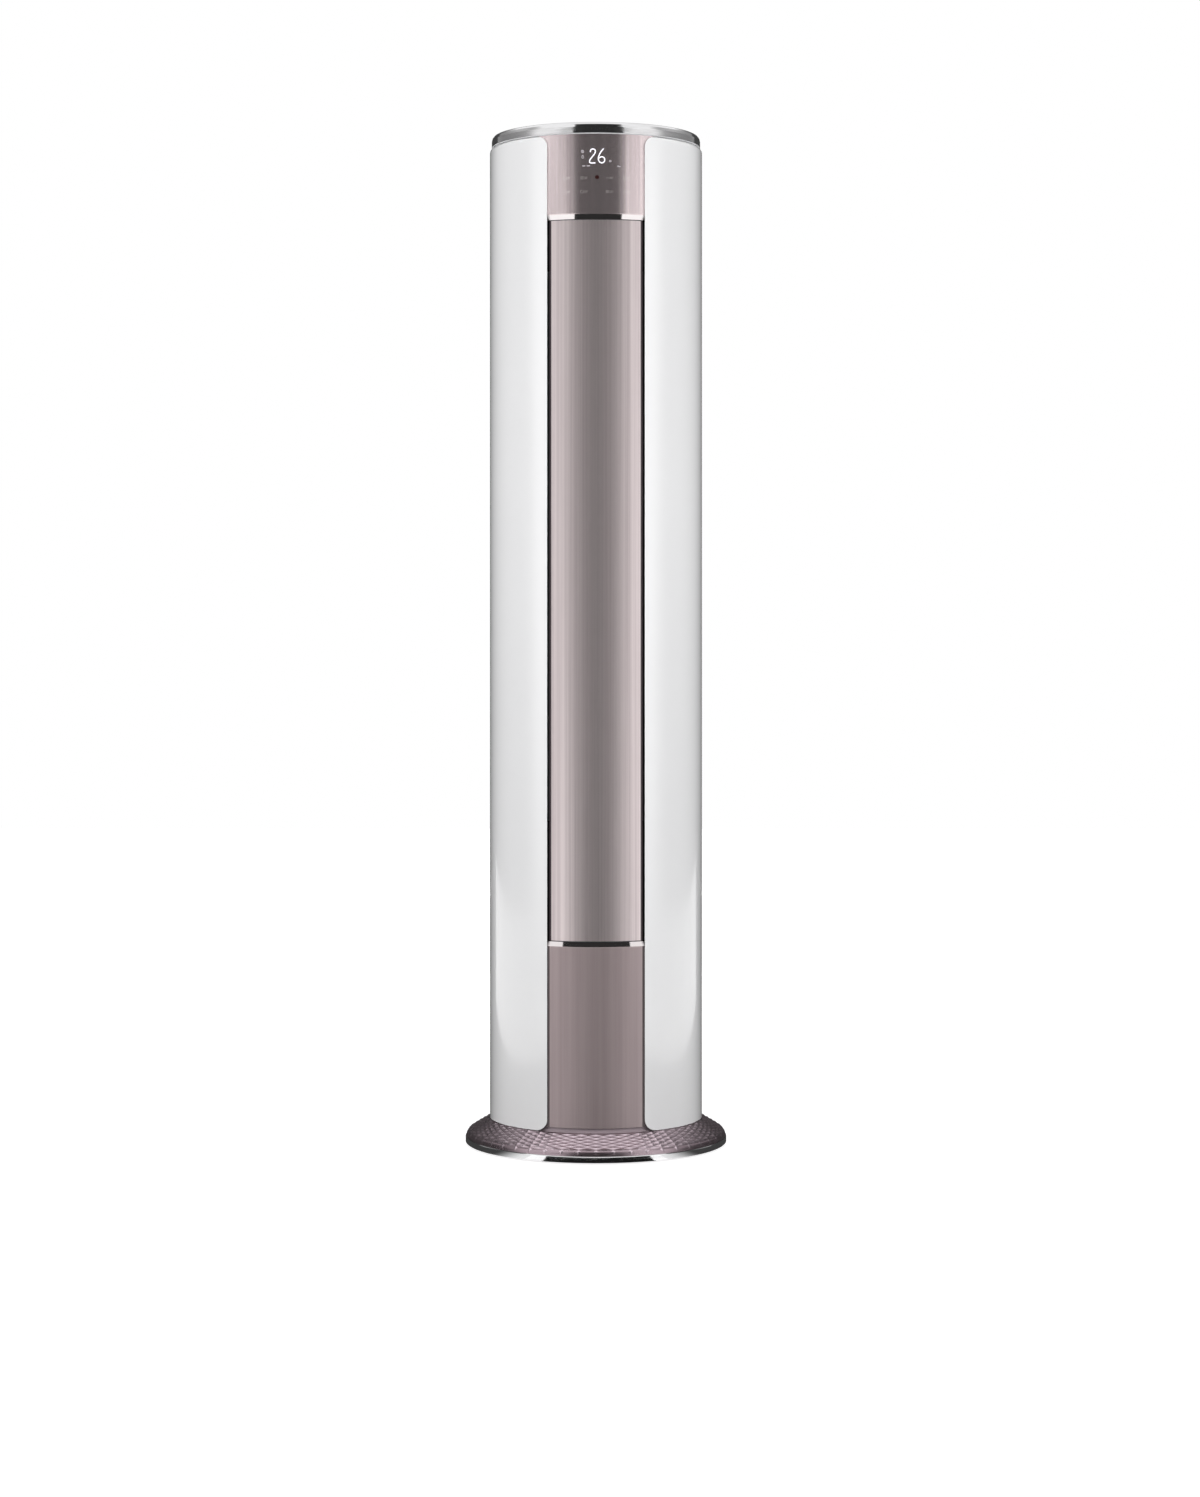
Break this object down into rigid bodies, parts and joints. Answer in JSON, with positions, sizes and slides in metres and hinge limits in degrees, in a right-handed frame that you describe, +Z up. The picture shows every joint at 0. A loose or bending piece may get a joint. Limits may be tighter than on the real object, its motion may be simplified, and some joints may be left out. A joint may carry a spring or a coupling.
{
  "type": "floor standing air conditioner",
  "caption": "Round floor standing air conditioner: white column, rose-brown front with a sliding arc door over the air outlet, relief foot with a bright rim.",
  "frame": {"origin": "on the floor under the column's axis", "axes": "+Z up along the column, the front faces -Y, +X to the right seen from the front"},
  "size_m": [0.4619, 0.462, 1.78],
  "materials": {
    "panel_white": "satin",
    "rose_satin": "satin",
    "rose_brushed": "brushed",
    "foot_pressed": "satin",
    "bright_trim": "polished",
    "dark_plastic": "matte",
    "blade_plastic": "satin",
    "wheel_plastic": "satin",
    "white_plastic": "satin",
    "liner_plastic": "matte",
    "galvanised": "satin",
    "foot_steel": "matte",
    "cover_plastic": "satin",
    "foam_grey": "matte",
    "fin_aluminium": "satin",
    "copper": "polished",
    "motor_grey": "satin",
    "screw_steel": "satin",
    "board_green": "satin",
    "rubber_black": "matte",
    "filter_mesh": "matte",
    "display_glow": "polished"
  },
  "bodies": {
    "cabinet": {"base_plate": "foot_steel", "base_skirt": "foot_pressed", "base_trim_ring": "bright_trim", "base_feet": "rubber_black", "left_side_panel": "panel_white", "right_side_panel": "panel_white", "rear_casing": "panel_white", "top_cover": "cover_plastic", "top_trim_ring": "bright_trim", "display_panel": "rose_satin", "display_board": "board_green", "lower_front_panel": "rose_satin", "outlet_frame": "dark_plastic", "left_upright": "galvanised", "right_upright": "galvanised", "rail_shelf": "galvanised", "coil_shelf": "galvanised", "motor_plate": "galvanised", "top_shelf": "galvanised", "door_rail_top": "white_plastic", "door_rail_bottom": "white_plastic", "scroll_wall": "foam_grey", "tongue_wall": "foam_grey", "evaporator_coil": "fin_aluminium", "evaporator_bends": "copper", "drain_pan": "white_plastic", "drain_hose": "white_plastic", "refrigerant_pipes": "copper", "fan_motor": "motor_grey", "fan_bearing": "dark_plastic", "door_motor": "motor_grey", "louvre_motor": "motor_grey", "vane_motor": "motor_grey", "control_box": "galvanised", "control_board": "board_green", "pipe_grommet": "rubber_black", "cable_gland": "dark_plastic", "wall_bracket": "galvanised", "case_screws": "screw_steel"},
    "door": {"door_skin": "rose_brushed", "door_liner": "liner_plastic", "door_rack": "white_plastic"},
    "pinion": {"door_pinion": "white_plastic"},
    "fan": {"fan_wheel": "wheel_plastic"},
    "grille": {"intake_grille": "panel_white", "intake_filter": "filter_mesh"},
    "louvre_bar": {"louvre_link": "white_plastic"},
    "vane_bar": {"vane_link": "white_plastic"},
    "louvre_1": {"louvre_1": "blade_plastic"},
    "louvre_2": {"louvre_2": "blade_plastic"},
    "louvre_3": {"louvre_3": "blade_plastic"},
    "louvre_4": {"louvre_4": "blade_plastic"},
    "louvre_5": {"louvre_5": "blade_plastic"},
    "louvre_6": {"louvre_6": "blade_plastic"},
    "louvre_7": {"louvre_7": "blade_plastic"},
    "louvre_8": {"louvre_8": "blade_plastic"},
    "vane_1": {"vane_1": "blade_plastic"},
    "vane_2": {"vane_2": "blade_plastic"},
    "vane_3": {"vane_3": "blade_plastic"},
    "vane_4": {"vane_4": "blade_plastic"}
  },
  "joints": [
    {"name": "door_slide", "type": "hinge", "parent": "cabinet", "child": "door", "pos_m": [0, 0, 1], "axis": [0, 0, -1], "range_deg": [0, 54]},
    {"name": "door_pinion_spin", "type": "hinge", "parent": "cabinet", "child": "pinion", "pos_m": [-0.0783, -0.13838, 1.625], "axis": [0, 0, -1], "range_deg": [0, 770]},
    {"name": "fan_spin", "type": "hinge", "parent": "cabinet", "child": "fan", "pos_m": [0, 0.00793, 1.05], "axis": [0, 0, 1], "continuous": true},
    {"name": "intake_grille_pull", "type": "slide", "parent": "cabinet", "child": "grille", "axis": [0, 1, 0], "range_m": [0, 0.12]},
    {"name": "louvre_tilt", "type": "hinge", "parent": "cabinet", "child": "louvre_4", "pos_m": [0, -0.08807, 0.99425], "axis": [1, 0, 0], "range_deg": [-30, 30]},
    {"name": "louvre_1_tilt", "type": "hinge", "parent": "cabinet", "child": "louvre_1", "pos_m": [0, -0.08807, 0.64175], "axis": [1, 0, 0], "range_deg": [-30, 30]},
    {"name": "louvre_2_tilt", "type": "hinge", "parent": "cabinet", "child": "louvre_2", "pos_m": [0, -0.08807, 0.75925], "axis": [1, 0, 0], "range_deg": [-30, 30]},
    {"name": "louvre_3_tilt", "type": "hinge", "parent": "cabinet", "child": "louvre_3", "pos_m": [0, -0.08807, 0.87675], "axis": [1, 0, 0], "range_deg": [-30, 30]},
    {"name": "louvre_5_tilt", "type": "hinge", "parent": "cabinet", "child": "louvre_5", "pos_m": [0, -0.08807, 1.11175], "axis": [1, 0, 0], "range_deg": [-30, 30]},
    {"name": "louvre_6_tilt", "type": "hinge", "parent": "cabinet", "child": "louvre_6", "pos_m": [0, -0.08807, 1.22925], "axis": [1, 0, 0], "range_deg": [-30, 30]},
    {"name": "louvre_7_tilt", "type": "hinge", "parent": "cabinet", "child": "louvre_7", "pos_m": [0, -0.08807, 1.34675], "axis": [1, 0, 0], "range_deg": [-30, 30]},
    {"name": "louvre_8_tilt", "type": "hinge", "parent": "cabinet", "child": "louvre_8", "pos_m": [0, -0.08807, 1.46425], "axis": [1, 0, 0], "range_deg": [-30, 30]},
    {"name": "louvre_bar_pivot", "type": "hinge", "parent": "louvre_4", "child": "louvre_bar", "pos_m": [0.058, -0.06207, 0.99425], "axis": [1, 0, 0], "range_deg": [-30, 30]},
    {"name": "vane_swing", "type": "hinge", "parent": "cabinet", "child": "vane_1", "pos_m": [-0.05089, -0.13257, 1.053], "axis": [0, 0, 1], "range_deg": [-35, 35]},
    {"name": "vane_2_swing", "type": "hinge", "parent": "cabinet", "child": "vane_2", "pos_m": [-0.01731, -0.14094, 1.053], "axis": [0, 0, 1], "range_deg": [-35, 35]},
    {"name": "vane_3_swing", "type": "hinge", "parent": "cabinet", "child": "vane_3", "pos_m": [0.01731, -0.14094, 1.053], "axis": [0, 0, 1], "range_deg": [-35, 35]},
    {"name": "vane_4_swing", "type": "hinge", "parent": "cabinet", "child": "vane_4", "pos_m": [0.05089, -0.13257, 1.053], "axis": [0, 0, 1], "range_deg": [-35, 35]},
    {"name": "vane_bar_pivot", "type": "hinge", "parent": "vane_1", "child": "vane_bar", "pos_m": [-0.05089, -0.11857, 0.572], "axis": [0, 0, 1], "range_deg": [-35, 35]}
  ],
  "couplings": [
    {"joint": "door_pinion_spin", "follows": "door_slide", "ratio": 14.25},
    {"joint": "louvre_1_tilt", "follows": "louvre_tilt", "ratio": 1},
    {"joint": "louvre_2_tilt", "follows": "louvre_tilt", "ratio": 1},
    {"joint": "louvre_3_tilt", "follows": "louvre_tilt", "ratio": 1},
    {"joint": "louvre_5_tilt", "follows": "louvre_tilt", "ratio": 1},
    {"joint": "louvre_6_tilt", "follows": "louvre_tilt", "ratio": 1},
    {"joint": "louvre_7_tilt", "follows": "louvre_tilt", "ratio": 1},
    {"joint": "louvre_8_tilt", "follows": "louvre_tilt", "ratio": 1},
    {"joint": "louvre_bar_pivot", "follows": "louvre_tilt", "ratio": -1},
    {"joint": "vane_2_swing", "follows": "vane_swing", "ratio": 1},
    {"joint": "vane_3_swing", "follows": "vane_swing", "ratio": 1},
    {"joint": "vane_4_swing", "follows": "vane_swing", "ratio": 1},
    {"joint": "vane_bar_pivot", "follows": "vane_swing", "ratio": -1}
  ]
}
